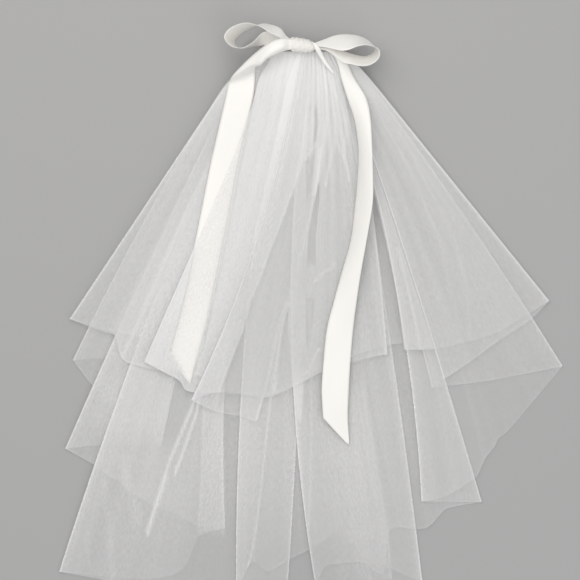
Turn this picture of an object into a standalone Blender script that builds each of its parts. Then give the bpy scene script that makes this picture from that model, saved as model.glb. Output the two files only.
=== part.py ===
"""Bridal veil laid out flat: two tiers of tulle gathered on a comb under a satin bow with two long tails.

Frame: +Z up, the veil lies on z = 0 with the bow towards +Y and the hems towards -Y.
Sizes in the tables are millimetres: "across" is to the right of the gather's middle,
"drop" is down the veil from the gather, "height" is above the surface it lies on.
"""

import math
from collections import namedtuple

import bmesh
import bpy
import numpy as np

MM = 0.001

# Driving dimensions, mm
RIBBON_WALL = 1.0
TULLE_WALL = 1.0
LAYER_PITCH = 1.8
SEAM_GAP = 0.3
RIBBON_CLEARANCE = 0.2
LAYER_REACH = 70.0
REACH_DOWN = 0.4
SHOULDER_DEPTH = 45.0
COLUMN_SPACING = 30.0
RUN_STEP = 0.01

# The gather's place in the part's frame, with the origin under the middle of the whole veil
GATHER_X = -7.93
GATHER_Y = 342.6

# The tulle is drawn in at the gather, more on the left, over this depth
PINCH_LEFT = 0.31
PINCH_RIGHT = 0.06
PINCH_DEPTH = 24.0

# The upper tier puffs up left of its middle
POUF_ACROSS = -32.0
POUF_DROP = 110.0
POUF_HALF_WIDTH = 95.0
POUF_HALF_LENGTH = 150.0
POUF_HEIGHT = 8.0
POUF_LEAN = 0.12

# The left tail lies on this panel of the upper tier, and from this section on the later panels cover it
TUCK_PANEL = 1
TUCK_SECTION = 11

# Comb under the gather
COMB_WIDTH = 88.0
COMB_SPINE = 7.0
COMB_TOOTH_LENGTH = 34.0
COMB_TOOTH_WIDTH = 2.2
COMB_TEETH = 16
COMB_TIP_NARROWING = 0.6
COMB_TIP_LENGTH = 1.0
COMB_THICKNESS = 3.0
COMB_DROP = 5.0
COMB_CLEARANCE = 0.8
COMB_REACH = 22.0

# Knot of the bow
KNOT_ACROSS = -5.0
KNOT_DROP = -8.0
KNOT_HEIGHT = 38.5
KNOT_RADII = (19.5, 9.8, 9.8)
KNOT_TAPER = 0.14
KNOT_TILT = 2.2
KNOT_RIDGES = 9
KNOT_RIDGE_DEPTH = 0.06
KNOT_RIDGE_SWAY = 0.8
KNOT_BLUNTNESS = 3.2

TIER_ROWS = (0.0, 0.045, 0.1, 0.165, 0.25, 0.35, 0.47, 0.6, 0.74, 0.88, 1.0)

Edge = namedtuple("Edge", "gather across drop belly shoulder fold")
Section = namedtuple(
    "Section", "left_across left_drop left_height right_across right_drop right_height crown"
)


def fold(gather, across, drop, belly=0, shoulder=0):
    """A fold line from the gather to the hem. It may bow aside, and swell aside near the gather."""
    return Edge(gather, across, drop, belly, shoulder, True)


def hem(across, drop):
    """A point that the hem passes between two folds."""
    return Edge(None, across, drop, 0, 0, False)


# Each tier is one cloth. It zigzags through these lines, so its panels lie on each other.
# Columns: gather, across, drop, belly, shoulder for a fold, and across, drop for a hem point.
LOWER_TIER = (
    fold(-57, -219, 431),
    hem(-246, 412),
    hem(-268, 408),
    fold(-79, -309, 411, -9),
    hem(-287, 440),
    hem(-253, 475),
    hem(-225, 499),
    fold(-49, -192, 523, -8),
    hem(-272, 524),
    fold(-73, -319, 529, -4),
    hem(-283, 549),
    hem(-260, 566),
    hem(-246, 573),
    hem(-236, 585),
    hem(-211, 599),
    hem(-194, 610),
    hem(-173, 615),
    hem(-145, 631),
    fold(-31, -107, 635, -28),
    hem(-142, 647),
    hem(-164, 690),
    hem(-215, 702),
    fold(-63, -327, 693, -11),
    hem(-287, 700),
    hem(-207, 713),
    hem(-91, 723),
    fold(-1, -24, 715, 7),
    fold(-33, -91, 720, -16),
    hem(-71, 680),
    hem(-49, 692),
    hem(-20, 676),
    hem(8, 662),
    hem(30, 647),
    hem(44, 636),
    hem(58, 649),
    hem(75, 670),
    hem(100, 682),
    fold(52, 156, 707, 5),
    hem(87, 713),
    fold(7, 15, 713, -29),
    hem(26, 687),
    hem(47, 682),
    hem(77, 681),
    hem(104, 694),
    hem(113, 638),
    hem(149, 636),
    hem(164, 633),
    hem(178, 619),
    hem(191, 608),
    fold(44, 235, 600, 4),
    fold(35, 156, 599, 23),
    hem(187, 592),
    hem(225, 569),
    hem(236, 551),
    hem(241, 540),
    hem(252, 527),
    hem(259, 514),
    hem(275, 500),
    fold(55, 343, 419, 7),
    hem(273, 433),
    hem(232, 440),
    fold(41, 169, 447, 5),
)

UPPER_TIER = (
    fold(-57, -169, 391),
    hem(-204, 383),
    hem(-257, 372),
    hem(-285, 365),
    fold(-76, -313, 356),
    hem(-285, 367),
    hem(-267, 373),
    hem(-252, 379),
    hem(-244, 408),
    hem(-215, 420),
    hem(-160, 430),
    fold(-15, -112, 436),
    hem(-150, 430),
    fold(-32, -214, 413, 0, -33),
    hem(-187, 427),
    hem(-167, 438),
    hem(-155, 452),
    hem(-109, 455),
    hem(-61, 457),
    hem(-39, 453),
    hem(4, 432),
    hem(21, 423),
    hem(77, 408),
    fold(53, 109, 403, 7),
    hem(77, 410),
    hem(21, 427),
    hem(-17, 447),
    hem(-56, 463),
    hem(-64, 491),
    hem(-87, 485),
    hem(-119, 479),
    fold(-5, -151, 464, 20),
    hem(-109, 452),
    hem(-61, 460),
    hem(-39, 457),
    hem(4, 436),
    hem(21, 427),
    hem(77, 400),
    hem(129, 388),
    fold(44, 171, 395),
    fold(35, 133, 397, 13),
    hem(171, 396),
    hem(212, 387),
    hem(252, 375),
    hem(287, 356),
    fold(57, 325, 332),
    hem(300, 357),
    hem(273, 375),
    hem(252, 389),
    hem(221, 412),
    fold(40, 185, 436, 4),
)

# Ribbon lengths: where the two rims run, and how far the middle stands proud of the line between them.
# Columns: left across, drop, height, right across, drop, height, crown. In a loop, left is the lower rim.
# The tails' heights are above the tulle under them, and the others' are above the surface.
LOOP_LEFT = (
    Section(-24.8, -20.5, 34, -24.8, -12, 44, 0),
    Section(-33, -31, 31, -36, -19, 48.5, 1),
    Section(-46, -36, 26, -48, -25, 56, 1),
    Section(-58, -37, 22, -59, -32, 57, 1),
    Section(-70, -31, 19, -74, -37, 55, 0),
    Section(-81, -26, 18, -87, -36, 53, 0),
    Section(-89, -20, 17, -100, -30, 51, 0),
    Section(-93, -14, 16, -107, -21, 49, 0),
    Section(-92, -8, 16, -105, -13, 49, 0),
    Section(-88, -5, 16, -97, -6, 50, 0),
    Section(-82, -4, 17, -85, -4, 52, 0),
    Section(-75, -5, 18.5, -76, -7.5, 51, 0),
    Section(-66, -7, 22, -67, -14, 46, 0),
    Section(-56, -8, 27, -57, -24.5, 40, 0),
    Section(-45, -8.5, 30, -47, -26, 38, 0),
    Section(-34, -8.5, 33, -36, -19, 38.5, 0),
    Section(-25, -7.5, 35, -25, -11, 38, 0),
)

LOOP_RIGHT = (
    Section(15, -12, 37, 15, -6.5, 44, 0),
    Section(27, -16.5, 33, 28, -5, 47, 1),
    Section(38, -21, 30, 39, -2.5, 51, 1),
    Section(49, -23, 27, 50, -0.5, 54, 2),
    Section(60, -23, 24, 59, -2, 54, 2),
    Section(72, -21, 21, 69, -6, 54, 1),
    Section(83, -16, 19, 80, -8, 54, 0),
    Section(90, -9.5, 18, 91, -6, 54, 0),
    Section(92, -4, 18, 98, -2, 54, 0),
    Section(90, 1, 19, 99, 6, 54, 0),
    Section(84, 5, 21, 95, 13, 53, 0),
    Section(77, 6, 23, 86, 18.5, 52, 0),
    Section(68, 4.5, 26, 75, 20, 51, 0),
    Section(59, 2, 29, 62, 17.5, 49, 1),
    Section(50, -1, 31, 51, 15, 47, 1),
    Section(43, -4, 33, 43.5, 9.5, 44.5, 0.5),
    Section(37, -6, 35.5, 37.5, 4.5, 43, 0.5),
    Section(28, -7, 37.5, 29, -0.5, 42, 0),
    Section(15, -7, 38, 15, -4, 41.5, 0),
)

TAIL_LEFT = (
    Section(-21, -16, 23.6, -20, -2, 18.9, 2),
    Section(-30, -17, 29, -29, 0, 20, 7),
    Section(-42, -14, 31, -39, 4, 19, 9),
    Section(-54, -7, 30.5, -51, 10, 18, 10),
    Section(-65, 1.5, 28.5, -58, 16, 15.5, 11),
    Section(-76, 11, 24, -62, 19, 13, 10),
    Section(-87, 22, 19, -64, 20, 11, 8),
    Section(-97, 33, 13, -65, 21, 9.5, 5),
    Section(-101, 41, 2, -66, 28, 1.5, 1),
    Section(-103, 48, 0, -67, 42, 0, 0),
    Section(-106, 62, 0, -69, 61, 0, 0),
    Section(-114, 97, 0.6, -77, 97, 0.2, 0),
    Section(-126, 150, 0.5, -88, 150, 0.2, 0),
    Section(-138, 211, 0, -99, 211, 0, 0),
    Section(-149, 265, 0, -110, 265, 0, 0),
    Section(-160, 318, 0, -121, 318, 0, 0),
    Section(-171, 362, 0, -132, 368, 0, 0),
    Section(-181, 400, 0, -143, 410, 0, 0),
    Section(-178, 408, 0, -147, 422, 0, 0),
    Section(-155, 441, 0, -153, 443, 0, 0),
)

TAIL_RIGHT = (
    Section(17, -3, 1, 18, -8, 1, 0.3),
    Section(28, -1, 0.6, 32, -7, 0.8, 0.3),
    Section(37, 5, 0.5, 44, -1, 1.5, 0.8),
    Section(43, 15, 0.5, 54, 11, 3, 1.5),
    Section(49, 38, 0, 66, 36, 4, 3),
    Section(57, 64, 0, 81, 61, 8, 3),
    Section(66, 92, 0, 87, 90, 15, 3),
    Section(71, 130, 0, 89, 130, 20, 3),
    Section(70, 165, 0, 90, 165, 19, 3),
    Section(67, 200, 0, 90, 200, 17, 3),
    Section(61, 250, 0, 82, 250, 14, 3),
    Section(50, 290, 0, 75, 290, 11, 3),
    Section(39, 330, 0, 69, 330, 7, 2),
    Section(29, 370, 0, 64, 370, 3, 1),
    Section(24, 420, 0, 60, 420, 0, 0),
    Section(22, 455, 0, 58, 455, 0, 0),
    Section(24, 488, 0, 57, 478, 0, 0),
    Section(37, 502, 0, 57, 492, 0, 0),
    Section(57, 523, 0, 59, 523, 0, 0),
)

STRAND = (
    Section(9, -12, 46, 15, -9.5, 46.5, 0.5),
    Section(14, -1, 44.5, 20, -3, 46, 0.5),
    Section(20, 9, 39, 25, 7, 38.5, 0.5),
    Section(28, 20, 33, 32, 18.5, 32.5, 0.4),
    Section(37, 29, 28.5, 39, 28.5, 28, 0.2),
)


def plan_point(edge, share):
    """Where a line of the tulle is, across and drop, at a share of its way from the gather to the hem."""
    drop = edge.drop * share
    across = edge.gather + (edge.across - edge.gather) * share + edge.belly * 4 * share * (1 - share)
    across += edge.shoulder * math.exp(-drop / SHOULDER_DEPTH)
    pinch = PINCH_LEFT if across < 0 else PINCH_RIGHT
    return across * (1 - pinch * math.exp(-((drop / PINCH_DEPTH) ** 2))), drop


def smooth(values, position):
    """A soft curve through the values, read at a fractional position."""
    last = len(values) - 1
    index = min(int(position), last - 1)
    share = position - index
    before = values[max(index - 1, 0)]
    start = values[index]
    end = values[index + 1]
    after = values[min(index + 2, last)]
    slope_in = (end - before) / 2
    slope_out = (after - start) / 2
    square = share * share
    cube = square * share
    return ((2 * cube - 3 * square + 1) * start + (cube - 2 * square + share) * slope_in
            + (3 * square - 2 * cube) * end + (cube - square) * slope_out)


def panels_of(table):
    """The tier's panels, each a list of lines from one fold to the next."""
    ends = [number for number, row in enumerate(table) if row.fold]
    panels = []
    for first, last in zip(ends, ends[1:]):
        rows = table[first:last + 1]
        points = np.array([(row.across, row.drop) for row in rows], dtype=float)
        lengths = np.linalg.norm(np.diff(points, axis=0), axis=1)
        reached = np.concatenate(([0.0], np.cumsum(lengths))) / lengths.sum()
        lines = []
        for number, length in enumerate(lengths):
            pieces = max(1, math.ceil(length / COLUMN_SPACING))
            for piece in range(pieces):
                position = number + piece / pieces
                along = float(np.interp(position, range(len(reached)), reached))
                across, drop = smooth(points, position)
                gather = rows[0].gather + (rows[-1].gather - rows[0].gather) * along
                belly = rows[0].belly + (rows[-1].belly - rows[0].belly) * along
                shoulder = rows[0].shoulder + (rows[-1].shoulder - rows[0].shoulder) * along
                lines.append(Edge(gather, across, drop, belly, shoulder, False))
        lines[0] = rows[0]
        lines.append(rows[-1])
        panels.append(lines)
    return panels


def outline_of(panel):
    """The panel's outline in plan: down its first fold, along the hem, up its last fold."""
    down = [plan_point(panel[0], share) for share in TIER_ROWS]
    along = [plan_point(line, 1.0) for line in panel[1:-1]]
    up = [plan_point(panel[-1], share) for share in reversed(TIER_ROWS)]
    return np.array(down + along + up)


def cover(points, outline, reach):
    """1 for a point over the outline, easing to 0 at the reach outside it, further down the veil."""
    points = points * (1.0, REACH_DOWN)
    start = outline * (1.0, REACH_DOWN)
    end = np.roll(start, -1, axis=0)
    side = end - start
    length_squared = np.maximum((side ** 2).sum(axis=1), 1e-9)
    offset = points[:, None, :] - start[None, :, :]
    share = np.clip((offset * side).sum(axis=2) / length_squared, 0, 1)
    distance = np.linalg.norm(offset - share[:, :, None] * side, axis=2).min(axis=1)
    above_start = start[None, :, 1] > points[:, 1:2]
    above_end = end[None, :, 1] > points[:, 1:2]
    rise = np.where(side[:, 1] == 0, 1e-9, side[:, 1])
    crossing = start[None, :, 0] + (points[:, 1:2] - start[None, :, 1]) * (side[:, 0] / rise)[None, :]
    crossed = (above_start != above_end) & (points[:, 0:1] < crossing)
    inside = crossed.sum(axis=1) % 2 == 1
    fade = np.clip(distance / reach, 0, 1)
    return np.where(inside, 1.0, 1 - fade * fade * (3 - 2 * fade))


class Stack:
    """What already lies on the surface: each layer lifts those that come after it."""

    def __init__(self):
        self.layers = []

    def add(self, outline, thickness, reach=LAYER_REACH):
        self.layers.append((outline, thickness, reach))

    def copy(self):
        same = Stack()
        same.layers = list(self.layers)
        return same

    def height(self, points):
        points = np.asarray(points, dtype=float)
        total = np.zeros(len(points))
        for outline, thickness, reach in self.layers:
            total += thickness * cover(points, outline, reach)
        return total


def pouf(across, drop):
    """Height of the upper tier's soft swell."""
    aside = (across - POUF_ACROSS - POUF_LEAN * (POUF_DROP - drop)) / POUF_HALF_WIDTH
    along = (drop - POUF_DROP) / POUF_HALF_LENGTH
    return POUF_HEIGHT * max(0.0, 1 - aside * aside - along * along) ** 2


def world(across, drop, height):
    """A point of the tables in the part's frame, in metres."""
    return ((GATHER_X + across) * MM, (GATHER_Y - drop) * MM, height * MM)


def mesh_object(name, points, faces, material):
    mesh = bpy.data.meshes.new(name)
    mesh.from_pydata(points, [], faces)
    mesh.validate()
    mesh.shade_smooth()
    mesh.set_sharp_from_angle(angle=math.radians(50))
    thing = bpy.data.objects.new(name, mesh)
    thing.data.materials.append(material)
    VEIL.objects.link(thing)
    return thing


def grid_faces(columns, rows):
    faces = []
    for column in range(columns - 1):
        for row in range(rows - 1):
            corner = column * rows + row
            faces.append((corner, corner + 1, corner + rows + 1, corner + rows))
    return faces


def solidify(thing, wall):
    shell = thing.modifiers.new("wall", "SOLIDIFY")
    shell.thickness = wall * MM
    shell.offset = 0.0
    shell.use_even_offset = True
    shell.use_quality_normals = True


def turn_columns(line, heading, low, high):
    """The rounded turn at a fold, between the heights of the panel below and the panel above."""
    columns = []
    for angle in (math.radians(60), math.radians(120)):
        column = []
        for row, share in enumerate(TIER_ROWS):
            here = np.array(plan_point(line, share))
            ahead = np.array(plan_point(line, min(share + RUN_STEP, 1.0)))
            behind = np.array(plan_point(line, max(share - RUN_STEP, 0.0)))
            run = (ahead - behind) / np.linalg.norm(ahead - behind)
            radius = (high[row] - low[row]) / 2
            out = here + heading * radius * math.sin(angle) * np.array((run[1], -run[0]))
            height = low[row] + radius * (1 - math.cos(angle))
            column.append((out[0], out[1], height))
        columns.append(column)
    return columns


def tier(name, table, stack, swell, material, tucked=None):
    """One cloth of tulle, as a wall that zigzags from fold to fold, each panel over the ones before it.

    An outline that is tucked in lies on the tuck panel. What lies under it there is returned.
    """
    under = None
    columns = []
    previous = None
    heading = 1
    for number, panel in enumerate(panels_of(table)):
        plan = [[plan_point(line, share) for share in TIER_ROWS] for line in panel]
        flat = np.array([point for column in plan for point in column])
        heights = stack.height(flat) + TULLE_WALL / 2
        heights += np.array([swell(*point) for point in flat])
        heights = heights.reshape(len(panel), len(TIER_ROWS))
        built = [
            [(*point, height) for point, height in zip(column, column_heights)]
            for column, column_heights in zip(plan, heights)
        ]
        if previous is not None:
            columns += turn_columns(panel[0], heading, previous, heights[0])
        heading = 1 if panel[-1].across > panel[0].across else -1
        columns += built
        previous = heights[-1]
        stack.add(outline_of(panel), LAYER_PITCH)
        if tucked is not None and number == TUCK_PANEL:
            under = stack.copy()
            stack.add(tucked, LAYER_PITCH)
    points = [world(*point) for column in columns for point in column]
    cloth = mesh_object(name, points, grid_faces(len(columns), len(TIER_ROWS)), material)
    solidify(cloth, TULLE_WALL)
    return under


def ribbon(name, table, stack, material, per_section=1, across_steps=4):
    """A length of ribbon lofted through its sections.

    With a stack, its heights are above the tulle under it.
    """
    values = np.array(table, dtype=float)
    steps = (len(table) - 1) * per_section
    columns = []
    for step in range(steps + 1):
        section = smooth(values, step / per_section) if step < steps else values[-1]
        left = section[0:3]
        right = section[3:6]
        chord = right - left
        normal = np.array((0.0, 0.0, 1.0)) - chord * chord[2] / max(chord @ chord, 1e-9)
        normal /= max(np.linalg.norm(normal), 1e-9)
        column = []
        for number in range(across_steps + 1):
            share = number / across_steps
            column.append(left + chord * share + normal * section[6] * 4 * share * (1 - share))
        columns.append(column)
    flat = np.array([point for column in columns for point in column])
    if stack is not None:
        flat[:, 2] += stack.height(flat[:, 0:2]) + np.array([pouf(*point[0:2]) for point in flat])
        flat[:, 2] += TULLE_WALL - LAYER_PITCH + SEAM_GAP + RIBBON_WALL / 2 + RIBBON_CLEARANCE
    points = [world(*point) for point in flat]
    band = mesh_object(name, points, grid_faces(len(columns), across_steps + 1), material)
    solidify(band, RIBBON_WALL)
    return band


def rims(sections):
    """The ribbon's outline in plan: down its left rim and up its right rim."""
    down = [(section.left_across, section.left_drop) for section in sections]
    up = [(section.right_across, section.right_drop) for section in reversed(sections)]
    return np.array(down + up, dtype=float)


def comb(name, material):
    """A flat comb: a spine along the gather and a row of teeth down the veil."""
    pitch = (COMB_WIDTH - COMB_TOOTH_WIDTH) / (COMB_TEETH - 1)
    half = COMB_WIDTH / 2
    corners = [(half, COMB_DROP), (-half, COMB_DROP)]
    root = COMB_DROP + COMB_SPINE
    tip = root + COMB_TOOTH_LENGTH
    for tooth in range(COMB_TEETH):
        left = -half + tooth * pitch
        right = left + COMB_TOOTH_WIDTH
        shoulder = tip - COMB_TIP_LENGTH
        corners += [(left, root), (left, shoulder), (left + COMB_TIP_NARROWING, tip)]
        corners += [(right - COMB_TIP_NARROWING, tip), (right, shoulder), (right, root)]
    mesh = bmesh.new()
    top = [mesh.verts.new(world(across, drop, COMB_THICKNESS)) for across, drop in corners]
    face = mesh.faces.new(top)
    face.normal_update()
    if face.normal.z < 0:
        face.normal_flip()
    down = bmesh.ops.extrude_face_region(mesh, geom=[face])
    moved = [item for item in down["geom"] if isinstance(item, bmesh.types.BMVert)]
    bmesh.ops.translate(mesh, verts=moved, vec=(0, 0, -COMB_THICKNESS * MM))
    mesh.normal_update()
    bmesh.ops.recalc_face_normals(mesh, faces=mesh.faces)
    data = bpy.data.meshes.new(name)
    mesh.to_mesh(data)
    mesh.free()
    thing = bpy.data.objects.new(name, data)
    thing.data.materials.append(material)
    VEIL.objects.link(thing)
    return np.array([(-half, COMB_DROP), (half, COMB_DROP), (half, tip), (-half, tip)])


def knot(name, material):
    """The knot: a squeezed round body with ridges where the ribbon is drawn round it."""
    mesh = bmesh.new()
    bmesh.ops.create_uvsphere(mesh, u_segments=20, v_segments=12, radius=1.0)
    for vertex in mesh.verts:
        along = vertex.co.z
        around = math.atan2(vertex.co.y, vertex.co.x)
        turned = KNOT_RIDGES * math.acos(max(-1, min(1, along))) + KNOT_RIDGE_SWAY * math.sin(2 * around)
        ridge = 1 + KNOT_RIDGE_DEPTH * math.sin(turned)
        girth = max(0.0, 1 - abs(along) ** KNOT_BLUNTNESS) ** 0.5 * ridge * (1 - KNOT_TAPER * along)
        vertex.co = world(
            KNOT_ACROSS + KNOT_RADII[0] * along,
            KNOT_DROP + KNOT_TILT * along - KNOT_RADII[1] * girth * math.cos(around),
            KNOT_HEIGHT + KNOT_RADII[2] * girth * math.sin(around),
        )
    mesh.normal_update()
    bmesh.ops.recalc_face_normals(mesh, faces=mesh.faces)
    data = bpy.data.meshes.new(name)
    mesh.to_mesh(data)
    mesh.free()
    data.shade_smooth()
    thing = bpy.data.objects.new(name, data)
    thing.data.materials.append(material)
    VEIL.objects.link(thing)


def make_material(name, colour, roughness, metallic=0.0, alpha=1.0):
    material = bpy.data.materials.new(name)
    material.use_nodes = True
    shader = material.node_tree.nodes["Principled BSDF"]
    shader.inputs["Base Color"].default_value = (*colour, 1.0)
    shader.inputs["Roughness"].default_value = roughness
    shader.inputs["Metallic"].default_value = metallic
    shader.inputs["Alpha"].default_value = alpha
    material.diffuse_color = (*colour, alpha)
    return material


def build():
    tulle = make_material("tulle", (0.80, 0.80, 0.80), 0.85, alpha=0.35)
    satin = make_material("satin", (0.86, 0.84, 0.80), 0.32)
    plastic = make_material("clear_plastic", (0.82, 0.84, 0.85), 0.2, alpha=0.5)

    stack = Stack()
    stack.add(comb("comb", plastic), COMB_THICKNESS + COMB_CLEARANCE, reach=COMB_REACH)
    tier("lower_tier", LOWER_TIER, stack, lambda across, drop: 0.0, tulle)
    under_tail = tier("upper_tier", UPPER_TIER, stack, pouf, tulle, rims(TAIL_LEFT[TUCK_SECTION:]))

    ribbon("bow_tail_left", TAIL_LEFT, under_tail, satin)
    ribbon("bow_tail_right", TAIL_RIGHT, stack, satin)
    ribbon("bow_loop_left", LOOP_LEFT, None, satin, per_section=2, across_steps=3)
    ribbon("bow_loop_right", LOOP_RIGHT, None, satin, per_section=2, across_steps=3)
    ribbon("bow_strand", STRAND, None, satin, across_steps=2)
    knot("bow_knot", satin)


for old in list(bpy.data.objects):
    bpy.data.objects.remove(old)
VEIL = bpy.data.collections.new("bridal_veil")
bpy.context.scene.collection.children.link(VEIL)
build()
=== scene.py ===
"""Bridal veil laid out flat: two tiers of tulle gathered on a comb under a satin bow with two long tails.

The tables are in millimetres and the same as the solids': "across" is to the right of the gather's
middle, "drop" is down the veil from the gather, "height" is above the surface the veil lies on.
"""

import math
from collections import namedtuple

import bmesh
import bpy
import numpy as np
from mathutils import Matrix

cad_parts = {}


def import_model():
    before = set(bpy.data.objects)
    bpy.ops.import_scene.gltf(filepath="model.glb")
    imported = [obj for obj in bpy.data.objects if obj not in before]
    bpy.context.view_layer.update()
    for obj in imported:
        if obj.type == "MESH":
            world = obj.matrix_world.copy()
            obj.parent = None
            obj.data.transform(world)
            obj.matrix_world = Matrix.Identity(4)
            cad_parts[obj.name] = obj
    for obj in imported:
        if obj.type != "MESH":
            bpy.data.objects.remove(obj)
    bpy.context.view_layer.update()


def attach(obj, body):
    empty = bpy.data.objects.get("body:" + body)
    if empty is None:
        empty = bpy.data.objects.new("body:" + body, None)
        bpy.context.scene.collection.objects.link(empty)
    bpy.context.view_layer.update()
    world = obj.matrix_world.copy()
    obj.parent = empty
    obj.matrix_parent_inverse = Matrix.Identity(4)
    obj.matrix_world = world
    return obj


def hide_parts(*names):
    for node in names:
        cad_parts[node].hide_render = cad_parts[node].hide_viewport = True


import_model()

MM = 0.001
TINY = 1e-9

# Sizes shared with the solids, mm
TULLE_WALL = 1.0
LAYER_PITCH = 1.8
SEAM_GAP = 0.3
RIBBON_WALL = 1.0
RIBBON_CLEARANCE = 0.2
LAYER_REACH = 70.0
REACH_DOWN = 0.4
SHOULDER_DEPTH = 45.0
GATHER_X = -7.93
GATHER_Y = 342.6
PINCH_LEFT = 0.31
PINCH_RIGHT = 0.06
PINCH_DEPTH = 24.0
POUF_ACROSS = -32.0
POUF_DROP = 110.0
POUF_HALF_WIDTH = 95.0
POUF_HALF_LENGTH = 150.0
POUF_HEIGHT = 8.0
POUF_LEAN = 0.12
TUCK_PANEL = 1
TUCK_SECTION = 11
COMB_WIDTH = 88.0
COMB_DROP = 5.0
COMB_CLEARANCE = 0.8
COMB_REACH = 22.0
COMB_SPINE = 7.0
COMB_TOOTH_LENGTH = 34.0
COMB_THICKNESS = 3.0
KNOT_ACROSS = -5.0
KNOT_DROP = -8.0
KNOT_HEIGHT = 38.5
KNOT_RADII = (19.5, 9.8, 9.8)
KNOT_TAPER = 0.14
KNOT_TILT = 2.2
KNOT_BLUNTNESS = 3.2

# Fineness of the cloth: the pitch of its columns in mm, closer in some panels, and its rows
COLUMN_PITCH = 3.8
LEAST_COLUMNS = 4
BESIDE_FOLD = (0.8, 2.0)
FINER_PANELS = {
    "lower": {5: 2.0, 7: 2.0, 8: 2.2},
    "upper": {1: 3.0, 2: 2.4, 3: 1.8, 4: 2.4, 5: 1.7},
}
FINE_ROWS = {"lower": 76, "upper": 100}
ROW_CROWDING = 1.1
ROWS_AT_HEM = (0.9965, 0.9985)
TURN_STEPS = 5
OUTLINE_STEPS = 12
OUTLINE_HEM_STEPS = 16
FOLD_LINE_STEPS = 49
SATIN_THICKNESS = 0.45

# The soft gathers that run down from the comb, and how the veil fans out from it
RUCK_HEIGHT = 1.5
RUCK_START = 18.0
RUCK_REACH = 240.0
RUCK_LEAST = 0.08
FAN_WIDTH = 64.0
FAN_SPREAD = 0.8

# How much denser than flat net the tulle looks at a fold, beside it, at its cut edge, near the gather
# and over the pouf, and where that is, in mm or as a place in the fan
FOLD_LINE = 1.2
FOLD_LINE_START = 70.0
FOLD_LINE_WIDTH = 1.2
FOLD_GLOW = 0.5
FOLD_GLOW_WIDTH = 10.0
HEM_LINE = 0.4
HEM_LINE_WIDTH = 1.1
GATHER_GLOW = 3.0
GATHER_GLOW_DROP = 55.0
POUF_GLOW = 0.7
POUF_GLOW_DROP = 280.0
POUF_GLOW_PLACE = -0.37
POUF_GLOW_SPREAD = 0.36
POUF_END = 397.0
LINE_WIDTH = 1.5
CREASE_GLOW_WIDTH = 8.0

# Where fine streaks and the fine gathers run down from the comb, as a place in the fan
STREAK_PLACE = 0.32
STREAK_SPREAD = 0.24
STREAK_DROP = 220.0
STREAK_LEAST = 0.16

# Folds whose edge shows less than the others', as a share
FOLD_SHOWS = {
    "lower": {},
    "upper": {2: 0.0, 3: 0.45, 5: 0.35, 6: 0.4},
}

# How the pieces look
NET_CELL = 1.3
TULLE_ALPHA = 0.16
TULLE_MOST_ALPHA = 0.92
TULLE_WHITE = (0.9, 0.9, 0.9)
IVORY = (0.96, 0.945, 0.91)
IVORY_SHADE = 0.965
# The knot's satin, painted darker than the ribbons' as shade over the knot
KNOT_IVORY_PAINTED_SHADE = (0.88, 0.86, 0.82)
COMB_TINTS = ((0.86, 0.88, 0.89), (0.92, 0.93, 0.93))
FLOOR_GREY = (0.42, 0.42, 0.42)

# The knot's fineness and windings, and how deep they and its crinkles are as shares of its radius
KNOT_STEPS = (96, 72)
KNOT_WINDINGS = 8.2
KNOT_GROOVE = 0.91
KNOT_RIDGE = 0.08
KNOT_CRINKLE = 0.06

# The studio, in metres and watts, and the photo's scale and middle
FLOOR_HALF = 4.0
FLOOR_LEVEL = -0.0012
SKY_STRENGTH = 0.52
LAMPS = (
    ("key", (-0.4, 1.0, 2.4), 2.6, 38, (1.0, 0.985, 0.96)),
    ("fill", (1.2, -1.2, 2.1), 2.6, 13, (0.99, 0.99, 1.0)),
)
PHOTO_PIXELS = 580
MM_PER_PIXEL = 4 / 3
VIEW_ACROSS = -20.0
VIEW_DROP = 317.3
CAMERA_DISTANCE = 12.0
SENSOR_WIDTH = 36.0

Edge = namedtuple("Edge", "gather across drop belly shoulder fold")
Section = namedtuple(
    "Section", "left_across left_drop left_height right_across right_drop right_height crown")
Crease = namedtuple("Crease", "tier panels strength width glow path")
Band = namedtuple("Band", "tier panels strength edge_left edge_right line fade left right")
Swell = namedtuple("Swell", "tier strength across drop half_width half_length lean")


def fold(gather, across, drop, belly=0, shoulder=0):
    """A fold line from the gather to the hem. It may bow aside, and swell aside near the gather."""
    return Edge(gather, across, drop, belly, shoulder, True)


def hem(across, drop):
    """A point that the hem passes between two folds."""
    return Edge(None, across, drop, 0, 0, False)


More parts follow.
